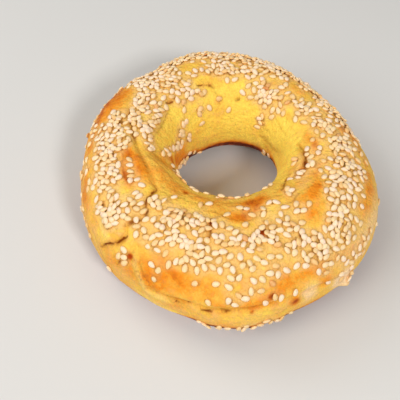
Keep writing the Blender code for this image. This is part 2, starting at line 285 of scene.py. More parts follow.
# and places where the skin stayed pale and dull: (around, over, spread, rise, share)
PALE_PATCHES = (
    # lower band of the near side, right flank
    (272, 3, 40, 10, 0.45), (326, 22, 22, 20, 1.3),
    # left and near crown
    (213, 72, 8, 12, 0.6), (224, 60, 6, 10, 0.5), (264, 66, 8, 9, 0.55), (300, 60, 8, 10, 0.4),
    # the nub and the floury skin beside it
    (311, 0, 6, 14, 2.0), (297, 9, 4, 15, 1.6),
    # far flank, left flank and cheek
    (90, 20, 120, 26, 0.25), (208, 20, 26, 20, 0.5), (244, -7, 14, 8, 0.8), (232, 8, 8, 16, 0.5),
    (224, 50, 8, 8, 0.6), (222, 28, 5, 7, 0.6),
    # right lobe
    (322, 104, 14, 7, 0.45), (334, 122, 12, 6, 0.4),
)


def angle_apart(first, second):
    """Signed difference of two angles in degrees, between -180 and 180."""
    return (first - second + 180.0) % 360.0 - 180.0


def swollen(base, swellings, around):
    """A size of the ring at `around`, its base value plus the swellings that reach there."""
    size = np.full(around.shape, base)
    for centre, spread, amount in swellings:
        size += amount * np.exp(-(angle_apart(around, centre) / spread) ** 2)
    return size


def bare_roll(around, over):
    """Points of the ring of dough before its folds, as an array of rows."""
    outline = swollen(OUTLINE_RADIUS, OUTLINE_SWELLINGS, around)
    hole = swollen(HOLE_RADIUS, HOLE_SWELLINGS, around)
    height = swollen(CROWN_HEIGHT + BASE_SAG, CROWN_SWELLINGS, around)
    across = np.cos(np.radians(over))
    upward = np.sin(np.radians(over))
    power = np.where(upward > 0, TOP_ROUNDNESS, BASE_ROUNDNESS)
    reach = np.where(upward > 0, 1.0 - WAIST, WAIST) * height
    half_width = (outline - hole) / 2.0
    radius = (outline + hole) / 2.0
    radius += half_width * np.sign(across) * np.abs(across) ** (2.0 / TOP_ROUNDNESS)
    level = WAIST * height + np.sign(upward) * reach * np.abs(upward) ** (2.0 / power)
    turn = np.radians(around)
    return np.stack((HOLE_CENTRE[0] + radius * np.cos(turn),
                     HOLE_CENTRE[1] + radius * np.sin(turn),
                     level - BASE_SAG), axis=-1)


def outward(around, over):
    """Unit normals of the bare roll."""
    step = 0.25
    along = bare_roll(around + step, over) - bare_roll(around - step, over)
    across = bare_roll(around, over + step) - bare_roll(around, over - step)
    normal = np.cross(along, across)
    return normal / np.linalg.norm(normal, axis=-1, keepdims=True)


def smooth_run(turning_points, steps_each=12):
    """A Catmull-Rom run through (around, over) points, with around kept unbroken."""
    points = [np.array(turning_points[0], float)]
    for around, over in turning_points[1:]:
        before = points[-1][0]
        points.append(np.array((before + angle_apart(around, before), over)))
    padded = [2 * points[0] - points[1]] + points + [2 * points[-1] - points[-2]]
    run = []
    for p0, p1, p2, p3 in zip(padded, padded[1:], padded[2:], padded[3:]):
        for u in np.linspace(0.0, 1.0, steps_each, endpoint=False):
            run.append(0.5 * (2 * p1 + (p2 - p0) * u + (2 * p0 - 5 * p1 + 4 * p2 - p3) * u * u
                              + (3 * p1 - p0 - 3 * p2 + p3) * u ** 3))
    run.append(points[-1])
    return np.array(run)


def follow(points, normals, turning_points, reach):
    """The points within `reach` mm of a run along the crust: which they are, how far to its
    left (mm, negative to its right), and a share that fades to 0 at the run's two ends."""
    run = smooth_run(turning_points)
    path = bare_roll(run[:, 0], run[:, 1]) / MM
    points = points / MM
    near = np.flatnonzero(((points > path.min(axis=0) - reach)
                           & (points < path.max(axis=0) + reach)).all(axis=1))
    offsets = points[near, None, :] - path[None, :, :]
    squared = (offsets ** 2).sum(axis=2)
    nearest = squared.argmin(axis=1)
    rows = np.arange(len(near))
    heading = np.gradient(path, axis=0)
    left = (np.cross(normals[near], heading[nearest]) * offsets[rows, nearest]).sum(axis=1)
    fade = np.sin(np.pi * np.linspace(0.0, 1.0, len(run)))[nearest] ** 0.5
    return near, np.where(left < 0, -1.0, 1.0) * np.sqrt(squared[rows, nearest]), fade


def fold_relief(points, normals, fold):
    """Relief and groove share of one fold at each point; both fade at the fold's ends."""
    depth, half_width, lip, turning_points = fold
    near, left, fade = follow(points, normals, turning_points, FOLD_REACH * half_width)
    groove = np.exp(-(left / half_width) ** 2)
    bulge = lip * np.exp(-((left - LIP_PLACE * half_width) / (LIP_WIDTH * half_width)) ** 2)
    relief = np.zeros(len(points))
    share = np.zeros(len(points))
    relief[near] = MM * fade * (bulge - depth * groove)
    share[near] = fade * groove
    return relief, share


def crease_lines(points, normals):
    """Signed distance in mm to the nearest thin crease, and how strong the crease is there."""
    gap = np.full(len(points), CREASE_REACH)
    strength = np.zeros(len(points))
    for depth, turning_points in CREASES:
        near, left, fade = follow(points, normals, turning_points, CREASE_REACH)
        inside = np.abs(left) < CREASE_REACH
        near, left, fade = near[inside], left[inside], fade[inside]
        here = depth * fade * (1.0 - (left / CREASE_REACH) ** 2) ** 2
        deeper = here > strength[near]
        gap[near[deeper]] = left[deeper]
        strength[near[deeper]] = here[deeper]
    return gap, strength


def lump_relief(points, lump):
    """Height of one rounded lump or dent at each point."""
    around, over, spread, height = lump
    centre = bare_roll(np.array([float(around)]), np.array([float(over)]))
    distance = np.linalg.norm(points - centre, axis=1) / MM
    return MM * height * np.exp(-(distance / spread) ** 2)


def dough_noise(points, size, start):
    """Soft noise between about -1 and 1 with features of `size`, one value for each point."""
    shift = Vector((start, 2.0 * start, -start))
    return np.array([noise.noise(Vector(row) / size + shift) for row in points])


def crust_surface(around, over):
    """The finished crust: points, normals, and how far each is grooved, scorched and ridged."""
    points = bare_roll(around, over)
    normals = outward(around, over)
    relief = np.zeros(len(points))
    groove = np.zeros(len(points))
    scorch = np.zeros(len(points))
    ridge = np.zeros(len(points))
    for height, half_width, run in RIDGES.values():
        raised, share = fold_relief(points, normals, (-height, half_width, 0.0, run))
        relief += raised
        ridge = np.maximum(ridge, share)
    for fold in FOLDS.values():
        height, share = fold_relief(points, normals, fold)
        relief += height
        groove = np.maximum(groove, share)
    for lump in LUMPS:
        relief += lump_relief(points, lump)
    for pit_around, pit_over, radius, depth, toast in PITS:
        dent = lump_relief(points, (pit_around, pit_over, radius, 1.0)) / MM
        relief -= MM * depth * dent
        scorch = np.maximum(scorch, toast * dent)
    torn = strongest(around, over, TORN)
    ragged = np.flatnonzero(torn > LEAST_TEAR)
    relief[ragged] += MM * torn[ragged] * dough_noise(points[ragged], TEAR_SIZE, TEAR_START)
    # the torn strips take the folds' painted shade as well
    groove[ragged] = np.maximum(groove[ragged], torn[ragged])
    for height, size, start in UNEVENNESS:
        relief += height * MM * dough_noise(points, size * MM, start)
    finished = points + normals * relief[:, None]
    finished[:, 2] = np.maximum(finished[:, 2], 0.0)
    return finished, normals, groove, scorch, ridge


def share_of(around, over, patch, sharpness=PATCH_SHARPNESS):
    """How far inside a patch each place is: 1 in its middle, 0 well outside."""
    centre, level, spread, rise = patch
    far = (angle_apart(around, centre) / spread) ** 2 + (angle_apart(over, level) / rise) ** 2
    return np.exp(-far ** sharpness)


def strongest(around, over, patches, sharpness=PATCH_SHARPNESS):
    """The largest amount that any of the patches has at each place, or 0."""
    most = np.zeros(around.shape)
    for *patch, amount in patches:
        most = np.maximum(most, amount * share_of(around, over, patch, sharpness))
    return most


def toast_at(around, over):
    """How brown the crust is at each place, before the skin's own mottle."""
    toast = np.interp(over, *zip(*TOAST_BY_LEVEL))
    for *patch, amount in TOAST_PATCHES:
        toast += amount * share_of(around, over, patch)
    return toast


# ---------------------------------------------------------------- the seeds' places

# Where seeds stuck: (around, over, spread, rise, how thickly), 1 being as thick as the crown;
# a patch with more than that keeps its thickness nearer to its edge
SEEDED = (
    # left crown
    (187, 69, 18, 14, 1.05), (169, 76, 9, 13, 1.1), (178, 88, 11, 6, 0.85),
    (168, 111, 9, 7, 1.0), (166, 96, 10, 8, 1.1), (150, 94, 14, 10, 1.0),
    (158, 116, 15, 9, 0.85), (146, 105, 8, 11, 0.62), (131, 80, 13, 24, 0.92),
    (174, 48, 12, 8, 0.28), (190, 41, 18, 9, 0.3), (168, 45, 7, 8, 0.6), (152, 100, 6, 5, 1.1),
    # near left cheek
    (208, 62, 10, 13, 0.75), (217, 52, 8, 10, 1.1), (222, 78, 7, 8, 0.7), (232, 68, 8, 10, 0.6),
    (230, 92, 7, 6, 0.8), (208, 88, 7, 5, 0.3), (200, 78, 7, 7, 1.0), (220, 66, 5, 7, 0.9),
    # near crown
    (244, 68, 16, 16, 0.8), (250, 90, 16, 7, 0.85), (256, 58, 9, 10, 1.0),
    (282, 82, 20, 10, 0.82), (275, 64, 20, 12, 0.52), (300, 70, 15, 14, 0.9),
    (280, 50, 22, 10, 0.28), (266, 82, 5, 5, 0.9), (308, 90, 8, 8, 0.55), (257, 70, 6, 12, 1.1),
    (242, 82, 7, 6, 0.9),
    # near right flank
    (305, 48, 10, 10, 1.05), (315, 48, 10, 14, 0.9), (306, 32, 9, 10, 0.38),
    (316, 65, 9, 9, 1.0), (318, 18, 12, 18, 0.34),
    # right crown
    (334, 79, 15, 15, 0.78), (350, 76, 16, 16, 0.92), (338, 54, 14, 12, 0.5),
    (358, 52, 12, 10, 0.34), (325, 78, 6, 7, 0.9), (355, 83, 8, 6, 1.0),
    # far right
    (12, 87, 13, 10, 0.75), (28, 93, 22, 9, 0.85), (38, 50, 26, 11, 1.8), (32, 67, 20, 7, 0.6),
    (64, 114, 12, 19, 0.95), (56, 92, 12, 8, 0.36), (50, 112, 10, 11, 0.42),
    (48, 130, 8, 7, 0.4),
    # far crown
    (70, 77, 13, 11, 1.0), (88, 93, 21, 9, 0.98), (112, 94, 12, 7, 0.3), (90, 50, 48, 15, 2.6),
    (98, 66, 32, 7, 0.62), (88, 79, 17, 6, 0.8), (86, 68, 28, 8, 0.85), (123, 112, 13, 15, 0.85),
    (90, 107, 9, 6, 0.3), (109, 130, 8, 6, 0.25), (124, 58, 7, 8, 1.3),
    # far flank
    (90, 30, 80, 17, 0.6),
)
# and where none did: (around, over, spread, rise)
BARE = (
    (153, 62, 10, 17), (151, 46, 13, 12), (198, 97, 9, 10), (206, 98, 9, 9), (213, 76, 5, 7),
    (319, 92, 9, 7), (268, 34, 10, 12), (222, 90, 4, 6), (215, 114, 30, 9), (312, 78, 7, 7),
    (338, 44, 8, 8), (227, 46, 4, 12), (285, 85, 2, 3), (306, 71, 5, 6), (272, 63, 3, 5),
    (296, 71, 4, 5), (210, 58, 4, 5), (278, 87, 4, 4), (186, 52, 4, 5), (237, 71, 4, 6),
    (250, 60, 4, 8), (114, 109, 5, 6),
)
# Rows of seeds that caught in folds and along the hole: turning points, count, scatter mm
TRAILS = (
    (((133, 131), (138, 144), (145, 152), (150, 158), (152, 166)), 12, 1.0),
    (((146, 160), (156, 162), (166, 156), (178, 144), (189, 132)), 14, 0.8),
    (((164, 180), (154, 187), (146, 188), (134, 198), (122, 200)), 12, 1.2),
    (((195, 151), (206, 144), (214, 143)), 6, 0.8),
    (((220, 143), (237, 138), (248, 139)), 4, 0.6),
    (((258, 134), (264, 131), (271, 132), (284, 133), (302, 137), (316, 139)), 8, 0.6),
    (((261, -13), (266, -14), (272, -12), (278, -13), (284, -11)), 11, 0.5),
    (((266, -10), (270, -9), (275, -9), (279, -5), (282, -8)), 5, 0.5),
    (((284, -12), (288, -15), (292, -15)), 4, 0.5),
    (((22, -14), (38, -18), (52, -12)), 7, 1.4),
    (((84, -13), (96, -18), (112, -14)), 8, 1.4),
    (((140, -10), (152, -16), (170, -14)), 6, 1.6),
    (((322, 122), (330, 113), (342, 111), (352, 112)), 8, 0.8),
    (((44, 196), (52, 202)), 3, 0.8),
    (((172, 117), (180, 114), (187, 120)), 6, 0.8),
    (((10, 16), (50, 12), (90, 18), (130, 10), (165, 14)), 22, 3.6),
    (((172, 14), (190, 8), (204, 12)), 4, 2.6),
    (((342, 8), (350, 4), (360, 10)), 5, 2.2),
)
AROUND_PER_MM = 1.6                     # degrees to a millimetre of scatter
OVER_PER_MM = 3.0
# Seeds that lie alone: (around, over)
LONE_SEEDS = (
    (196, 93), (200, 92), (204, 91), (207, 90), (210, 88), (211, 93), (216, 93), (218, 86),
    (221, 86), (235, 104), (243, 39), (246, 37), (245, 25), (249, 46), (232, 30), (233, 25),
    (231, 37), (230, 28), (225, -2), (212, 7), (209, 13), (197, 19), (190, 27), (203, 18),
    (188, 25), (184, 32), (252, 108), (257, 112), (269, 103), (277, 111), (281, 108), (283, 101),
    (299, 103), (290, 103), (295, 106), (301, 95), (297, 92), (289, 98), (289, 91), (309, 105),
    (312, 106), (311, 110), (338, 110), (341, 128), (354, 114), (354, 100), (350, 102),
    (346, 110), (339, 106), (344, 97), (336, 97), (332, 92), (2, 106), (344, 127), (259, 37),
    (266, 42), (270, 41), (270, 28), (272, 25), (273, 33), (275, 30), (277, 36), (280, 35),
    (281, 45), (284, 39), (281, 22), (284, 26), (286, 22), (291, 21), (264, 23), (304, 8),
    (309, 10), (314, 6), (313, -4), (310, -1), (315, -3), (27, 115), (20, 107), (30, 107),
    (40, 124), (48, 140), (50, 131), (57, 147), (59, 151), (57, 156), (60, 164), (58, 133),
    (79, 124), (90, 148), (98, 133), (108, 142), (117, 140), (119, 145), (119, 158), (109, 122),
    (112, 123), (131, 132), (136, 165), (139, 167), (128, 123),
)
SEEDED_LEVELS = (-60.0, 190.0)          # seeds fell from this `over` to that
CLUMPS = ((0.60, 6.0), (0.35, 2.8))     # how far seeds bunch, and the bunches' size in mm
CHANCE_FOR_COVER = 1.5                  # a try's chance of being kept, for a cover of 1
LEAST_COVER = 0.02                      # no seed sticks where it is thinner
PILE_REACH = 1.2                        # seeds nearer than this many widths lean on each other
SEED_LIFT = 0.30                        # a seed's middle above the skin, in thicknesses,
PILE_LIFT = 1.2                         # how much higher one on a pile is,
LIFT_SPREAD = 0.10                      # and how much that varies
TILT_SPREAD = 0.16                      # spread of its tilt in radians, as the next two are
ROLL_SPREAD = 0.18
PILE_TILT = (0.3, 0.9)
TRAY_GAP = 0.75 * MM                    # clear height under a seed


def seed_cover(around, over):
    """How thickly the seeds cover each place."""
    cover = strongest(around, over, SEEDED, SEEDED_SHARPNESS)
    for patch in BARE:
        cover *= 1.0 - share_of(around, over, patch, BARE_SHARPNESS)
    return cover


def trail_places(draw):
    """Places along the trails and of the lone seeds, as (around, over) pairs."""
    places = list(LONE_SEEDS)
    for turning_points, count, scatter in TRAILS:
        run = smooth_run(turning_points)
        for number in range(count):
            around, over = run[int((number + draw.random()) / count * (len(run) - 1))]
            places.append((around + draw.gauss(0.0, scatter) * AROUND_PER_MM,
                           over + draw.gauss(0.0, scatter) * OVER_PER_MM))
    return places


def clump(point):
    """How the seeds bunch together: between about 0.5 and 1.4."""
    thickness = 1.0
    for share, size in CLUMPS:
        thickness += share * noise.noise(point / (size * MM))
    return thickness


class SeedBed:
    """The seeds laid so far, kept in cells so that neighbours are quick to find."""

    CELL = 3.0 * MM

    def __init__(self):
        self.cells = {}

    def cell_of(self, point):
        """The cell that a point is in."""
        return tuple(math.floor(value / self.CELL) for value in point)

    def nearest(self, point):
        """Distance to the nearest seed laid within a cell's reach, or that reach."""
        middle = self.cell_of(point)
        best = self.CELL
        for x in (-1, 0, 1):
            for y in (-1, 0, 1):
                for z in (-1, 0, 1):
                    cell = (middle[0] + x, middle[1] + y, middle[2] + z)
                    for other in self.cells.get(cell, ()):
                        best = min(best, (point - other).length)
        return best

    def lay(self, point):
        """Note where a seed lies."""
        self.cells.setdefault(self.cell_of(point), []).append(point)


def seed_frame(normal, tilt, draw):
    """The turn of a seed that lies on the crust: its length along local X, its top along Z."""
    upright = normal.to_track_quat("Z", "Y").to_matrix()
    yaw = Matrix.Rotation(draw.uniform(0.0, math.tau), 3, "Z")
    roll = Matrix.Rotation(draw.gauss(0.0, ROLL_SPREAD), 3, "X")
    return upright @ yaw @ Matrix.Rotation(tilt, 3, "Y") @ roll


def lay_seeds(settings):
    """Choose where every seed lies: a list of (place, 3x3 turn, whether sunk)."""
    draw = random.Random(settings.random_seed)
    pairs = trail_places(draw)
    fixed = len(pairs)
    for _ in range(settings.draws):
        pairs.append((draw.uniform(0.0, 360.0), draw.uniform(*SEEDED_LEVELS)))
    around, over = np.array(pairs).T
    cover = seed_cover(around, over)
    cover[:fixed] = settings.trail_cover
    chance = np.array([draw.random() for _ in pairs])
    kept = np.flatnonzero(chance < np.minimum(1.0, CHANCE_FOR_COVER * cover))
    points, normals, *_ = crust_surface(around[kept], over[kept])
    bed = SeedBed()
    seeds = []
    for row, number in enumerate(kept):
        place, normal = Vector(points[row]), Vector(normals[row])
        thickly = cover[number] * (1.0 if number < fixed else clump(place))
        if thickly < LEAST_COVER:
            continue
        gap = bed.nearest(place)
        if gap < settings.spacing / math.sqrt(thickly):
            continue
        pile = max(0.0, 1.0 - gap / (PILE_REACH * settings.width))
        sunk = draw.random() < settings.sunk_share
        lift = SEED_LIFT + PILE_LIFT * pile + LIFT_SPREAD * draw.gauss(0.0, 1.0)
        lift = (lift - settings.sunk_depth * sunk) * settings.thickness
        tilt = draw.gauss(0.0, TILT_SPREAD)
        tilt += pile * draw.choice((-1.0, 1.0)) * draw.uniform(*PILE_TILT)
        tip_drop = 0.5 * settings.length * abs(math.sin(tilt))
        if place.z + normal.z * lift < TRAY_GAP + tip_drop:
            continue
        bed.lay(place)
        seeds.append((place + normal * lift, seed_frame(normal, tilt, draw), sunk))
        if len(seeds) >= settings.most:
            break
    return seeds


# ---------------------------------------------------------------- shader maths

def both_ways(operation):
    """The plain and the reflected form of an operator; either adds one Math node."""
    def plain(self, other):
        return self.finish.node("ShaderNodeMath", {"operation": operation}, {0: self, 1: other})

    def reflected(self, other):
        return self.finish.node("ShaderNodeMath", {"operation": operation}, {0: other, 1: self})

    return plain, reflected


class Flow:
    """A shader value that can be written in sums: a socket and the finish it belongs to."""

    def __init__(self, finish, socket):
        self.finish = finish
        self.socket = socket

    __add__, __radd__ = both_ways("ADD")
    __sub__, __rsub__ = both_ways("SUBTRACT")
    __mul__, __rmul__ = both_ways("MULTIPLY")
    __truediv__, __rtruediv__ = both_ways("DIVIDE")
    __pow__, __rpow__ = both_ways("POWER")

    def clamped(self):
        """The value held between 0 and 1."""
        return self.finish.node("ShaderNodeMath", {"operation": "ADD", "use_clamp": True},
                                {0: self, 1: 0.0})


class Finish:
    """A material whose nodes are added one call at a time."""

    def __init__(self, name):
        self.material = bpy.data.materials.new(name)
        self.material.use_nodes = True
        self.tree = self.material.node_tree
        self.shader = self.tree.nodes["Principled BSDF"]

    def node(self, kind, settings=None, values=None, output=0):
        """Add a node, set it up, feed its sockets and hand back one output."""
        node = self.tree.nodes.new(kind)
        for key, value in (settings or {}).items():
            if key == "stops":
                self._set_stops(node.color_ramp, value)
            else:
                setattr(node, key, value)
        for key, value in (values or {}).items():
            self.feed(node.inputs[key], value)
        return Flow(self, node.outputs[output])

    def feed(self, socket, value):
        """Link a Flow to the socket, or set the socket's own constant."""
        if isinstance(value, Flow):
            self.tree.links.new(value.socket, socket)
        else:
            socket.default_value = value

    def surface(self, **values):
        """Set the Principled shader's sockets by their names, with _ for spaces."""
        for name, value in values.items():
            self.feed(self.shader.inputs[name.replace("_", " ")], value)

    @staticmethod
    def _set_stops(ramp, stops):
        """Give a colour ramp these stops alone."""
        while len(ramp.elements) > 1:
            ramp.elements.remove(ramp.elements[-1])
        for number, (position, colour) in enumerate(stops):
            element = ramp.elements[0] if number == 0 else ramp.elements.new(position)
            element.position = position
            element.color = (*colour, 1.0)

    def attribute(self, name):
        """A number that the mesh carries at each point."""
        return self.node("ShaderNodeAttribute", {"attribute_name": name}, output="Fac")

    def mottle(self, place, scale, detail=2.0, roughness=0.5):
        """Soft noise about 0.5, with `scale` features to the metre."""
        return self.node("ShaderNodeTexNoise", {}, {"Vector": place, "Scale": scale,
                                                    "Detail": detail, "Roughness": roughness})

    def ramp(self, share, settings, stops):
        """A colour picked by share from the named colours of the settings."""
        stops = [(position, getattr(settings, name)) for position, name in stops]
        return self.node("ShaderNodeValToRGB", {"stops": stops}, {"Fac": share})

    def coat(self, share, under, colour):
        """The colour underneath, covered by another as far as share says."""
        return self.node("ShaderNodeMix", {"data_type": "RGBA"},
                         {0: share, 6: under, 7: (*colour, 1.0)}, output=2)

    def relief(self, height, depth, under=None):
        """A bump of `depth` metres, over another if one is given."""
        values = {"Height": height, "Distance": depth, "Strength": 1.0}
        if under is not None:
            values["Normal"] = under
        return self.node("ShaderNodeBump", {}, values)


def bell(flow):
    """1 where the value is 0, falling off smoothly to either side."""
    return 1.0 / (1.0 + (flow * flow) ** 1.5)


def shade(red, green, blue):
    """A screen colour, 0 to 255, as the linear values that shaders take."""
    return tuple((part / 255 / 12.92) if part <= 10 else ((part / 255 + 0.055) / 1.055) ** 2.4
                 for part in (red, green, blue))


# ---------------------------------------------------------------- sizes and colours

def tint(name, description, red, green, blue):
    """A colour to set, its default given as a screen colour."""
    return bpy.props.FloatVectorProperty(name=name, description=description, subtype="COLOR",
                                         default=shade(red, green, blue))


def measure(name, description, millimetres):
    """A length to set, its default given in millimetres."""
    return bpy.props.FloatProperty(name=name, description=description, unit="LENGTH",
                                   default=millimetres * MM, precision=5)


def portion(name, description, default):
    """A share to set, from 0 to 1."""
    return bpy.props.FloatProperty(name=name, description=description, subtype="FACTOR",
                                   default=default, min=0.0, max=1.0)


class CrustSettings(bpy.types.PropertyGroup):
    """Fineness and colours of the baked crust."""

    ring_steps: bpy.props.IntProperty(
        name="Steps round the ring", description="Mesh steps round the hole",
        default=540, min=60, max=540)
    roll_steps: bpy.props.IntProperty(
        name="Steps round the roll", description="Mesh steps round the roll of dough",
        default=180, min=24, max=180)
    lemon: tint("Palest crust", "Inner wall, where the oven hardly reached", 253, 219, 92)
    yellow: tint("Soft crust", "Where the crust hardly browned", 250, 205, 84)
    golden: tint("Golden crust", "Most of the crown and flanks", 243, 184, 74)
    orange: tint("Orange crust", "Patches that baked harder", 238, 144, 34)
    brown: tint("Brown crust", "Edges of the base and scorched specks", 186, 82, 8)
    dark: tint("Dark crust", "Underneath, by the hole", 104, 36, 6)
    # painted shade down in the folds and cracks, over browner crust
    fold_shade_tint: tint("Fold colour", "Down in the folds and cracks", 206, 130, 34)
    # painted shade of the narrow crevices, in brown crust colour
    crease_shade_tint: tint("Crease colour", "In the thin cracks of the skin", 132, 64, 4)
    scorch_tint: tint("Scorch colour", "Specks and burst bubbles that caught the heat", 164, 62, 6)
    crease_depth: measure("Crease depth", "How deep a full crack goes", 0.3)
    patchiness: bpy.props.FloatProperty(
        name="Patchiness", description="How unevenly the crust browned",
        default=1.05, min=0.0, max=2.0)
    bed_height: measure("Seed bed height", "How far the skin swells under each seed", 0.22)
    cream: tint("Cream crust", "Among the seeds, which kept the oven off the skin", 241, 196, 122)
    cream_share: portion("Cream share", "How far the skin among thick seeds takes that colour",
                         0.75)
    flour: tint("Floury crust", "Where the skin stayed almost white", 254, 219, 182)
    # painted contact shadow: the ring of crust round each seed darkened as its shade
    seed_shadow_tint: tint("Glaze colour", "Where the wash browned round the seeds", 190, 134, 52)
    # painted shadow in the narrow gaps between touching seeds
    gap_shadow_tint: tint("Gap colour", "In the narrow gaps where seeds touch", 138, 84, 22)
    pore_depth: measure("Pore depth", "Height of the skin's finest relief", 0.15)


class SeedSettings(bpy.types.PropertyGroup):
    """Size, number and colours of the sesame seeds."""

    length: measure("Length", "Length of a seed", 2.84)
    width: measure("Width", "Width of a seed", 2.02)
    thickness: measure("Thickness", "Thickness of a seed", 1.05)
    spacing: measure("Spacing", "Least distance between seeds on a full cover", 1.44)
    sunk_share: portion("Sunk share", "Share of the seeds that the dough half swallowed", 0.22)
    sunk_depth: portion("Sunk depth", "How much lower those seeds lie, in thicknesses", 0.30)
    toasted_share: portion("Toasted share", "Share of the seeds that browned in the oven", 0.06)
    trail_cover: bpy.props.FloatProperty(
        name="Trail cover", description="How close together seeds in rows may lie",
        default=1.25, min=0.05, max=3.0)
    draws: bpy.props.IntProperty(
        name="Draws", description="Tries at finding a free place for a seed",
        default=130000, min=1)
    most: bpy.props.IntProperty(
        name="Most seeds", description="The scattering stops at this many",
        default=2450, min=1)
    random_seed: bpy.props.IntProperty(
        name="Random seed", description="Another number scatters the seeds afresh", default=33)
    blush: tint("Blush", "Colour of the palest seeds", 251, 220, 190)
    ivory: tint("Ivory", "Colour of most seeds", 247, 216, 168)
    honey: tint("Honey", "Colour of seeds that took the crust's colour", 240, 196, 130)
    toasted: tint("Toasted", "Colour of the few seeds that browned", 214, 138, 70)


class StageSettings(bpy.types.PropertyGroup):
    """Floor, light and camera."""

    floor: tint("Floor", "Colour of the plain floor", 214, 212, 208)
    light: bpy.props.FloatProperty(
        name="Light", description="Strength of all the lamps together", default=1.0, min=0.0)
    height_angle: bpy.props.FloatProperty(
        name="Height angle", description="How far above the table the camera looks from",
        subtype="ANGLE", default=math.radians(52.0))
    distance: measure("Distance", "From the camera to the middle of the bagel", 252.4)
    lens: bpy.props.FloatProperty(
        name="Lens", description="Focal length in millimetres on a 36 mm sensor", default=57.0)


# ---------------------------------------------------------------- pieces

# Where each colour of the crust and of the seeds stands, from pale to dark
CRUST_STOPS = ((0.0, "lemon"), (0.18, "yellow"), (0.36, "golden"), (0.60, "orange"),
               (0.86, "brown"), (1.0, "dark"))
SEED_STOPS = ((0.0, "blush"), (0.20, "ivory"), (0.50, "honey"), (1.0, "toasted"))

# Features of the mottle, to the metre
BROAD, MIDDLING, FINE, SPECKLE, PORES = 110.0, 290.0, 620.0, 1500.0, 780.0
SEED_MOTTLE, SEED_GRAIN = 900.0, 2600.0
SLIT_RELIEF = 0.28 * MM
GRAIN_RELIEF = 0.03 * MM

# How seeds crowd the skin
NEIGHBOURS = 5                          # seeds that are looked at round each point
CROWD_REACH = 1.1                       # how far a seed crowds the skin, in lengths
CROWD_FULL = 2.2                        # seeds near enough to count as a full crowd
CLEAR_OF_SEEDS = 3.0                    # gap and pinch of the base, in seeds' half widths

# The make of one seed
SEED_RINGS = {"u_segments": 8, "v_segments": 6}
SIZE_SPREAD = (0.90, 1.10)
NARROWING = (0.08, 0.24)                # how much slimmer the tip is than the middle
TONE_SPREAD = 0.40                      # how much warmer than the palest a plain seed may be,
SUNK_TONE = 0.22                        # one sunk in the skin
TOASTED_TONE = (0.15, 0.50)             # and a toasted one
TIP_EDGE = 0.35                         # warmth of the tip, against 1 underneath
TRAY_LOAD = 40                          # seeds that are shaped together


def colour_crust(settings):
    """Satin baked skin, pale yellow to dark brown, mottled, with pores and wrinkles."""
    finish = Finish("baked_crust")
    place = finish.node("ShaderNodeTexCoord", output="Object")
    broad, middling, fine = (finish.mottle(place, scale, 3.0, 0.6) - 0.5
                             for scale in (BROAD, MIDDLING, FINE))
    speckle = finish.mottle(place, SPECKLE, 2.0, 0.6) - 0.5
    patchy = broad * 0.56 + middling * 0.48 + fine * 0.38 + speckle * 0.22
    browned = (finish.attribute("toast") + patchy * settings.patchiness).clamped()
    skin = finish.ramp(browned, settings, CRUST_STOPS)
    # cream where seeds kept the oven off it, and floury where it stayed almost white
    pale = finish.attribute("pale")
    creamy = (finish.attribute("crowd") * 1.7 - 0.68).clamped() + pale
    creamy = (creamy + middling * 2.0 + fine - 0.15).clamped()
    creamy = creamy * ((0.87 - browned) * 3.0).clamped() * settings.cream_share
    creamed = finish.coat(creamy, skin, settings.cream)
    floury = (pale - 1.0 + middling * 0.8 + fine * 0.4).clamped()
    floured = finish.coat(floury * 0.8, creamed, settings.flour)
    # painted contact shadow round each seed, and darker painted shadow in the gaps where seeds
    # touch
    from_edge = (finish.attribute("seed_gap") - 1.0 + fine * 0.3) * 3.6
    rim = (bell(from_edge) * (0.38 + fine)).clamped()
    seed_shadowed = finish.coat(rim, floured, settings.seed_shadow_tint)
    # painted shadow in the narrow gaps between touching seeds
    pinch = ((1.5 + fine - finish.attribute("pinch")) * 1.6).clamped()
    gap_shadowed = finish.coat(pinch * 0.85, seed_shadowed, settings.gap_shadow_tint)
    # darker and browner in folds and in cracks as painted shade of those hollows over browner
    # crust, and darker in scorched specks
    # painted shade: a thin dark line along each crack, standing in for the shade of a crevice too
    # narrow for the mesh, in brown crust colour
    from_crease = (finish.attribute("crease_gap") + middling * 1.3 + fine * 0.8) * 2.6
    crease = finish.attribute("crease")
    line = bell(from_crease) * crease * (0.75 + middling * 1.6 + fine)
    groove = finish.attribute("groove")
    fold_shade = (groove * 0.26 + crease * 0.22 + groove * fine).clamped()
    fold_shaded = finish.coat(fold_shade, gap_shadowed, settings.fold_shade_tint)
    crease_shaded = finish.coat((line * 1.05).clamped(), fold_shaded, settings.crease_shade_tint)
    burnt = (finish.attribute("scorch") * (1.9 + fine)).clamped()
    scorched = finish.coat(burnt, crease_shaded, settings.scorch_tint)
    flecked = finish.node("ShaderNodeHueSaturation", {},
                          {"Value": 1.0 + fine * 0.24 + speckle * 0.70, "Color": scorched})
    # slits, blisters and pores
    pores = finish.node("ShaderNodeTexVoronoi", {"feature": "SMOOTH_F1"},
                        {"Vector": place, "Scale": PORES, "Smoothness": 0.6})
    slit = finish.relief(line * -1.0, SLIT_RELIEF)
    blisters = finish.relief(middling + fine * 0.7, settings.pore_depth * 5.0, slit)
    bumpy = finish.relief(pores + speckle * 0.8, settings.pore_depth, blisters)
    gloss = 0.50 + fine * 0.22 + broad * 0.10
    finish.surface(Base_Color=flecked, Roughness=gloss, Normal=bumpy,
                   Specular_IOR_Level=0.08, Subsurface_Weight=0.08,
                   Subsurface_Radius=(1.0, 0.5, 0.2), Subsurface_Scale=1.0 * MM)
    return finish.material


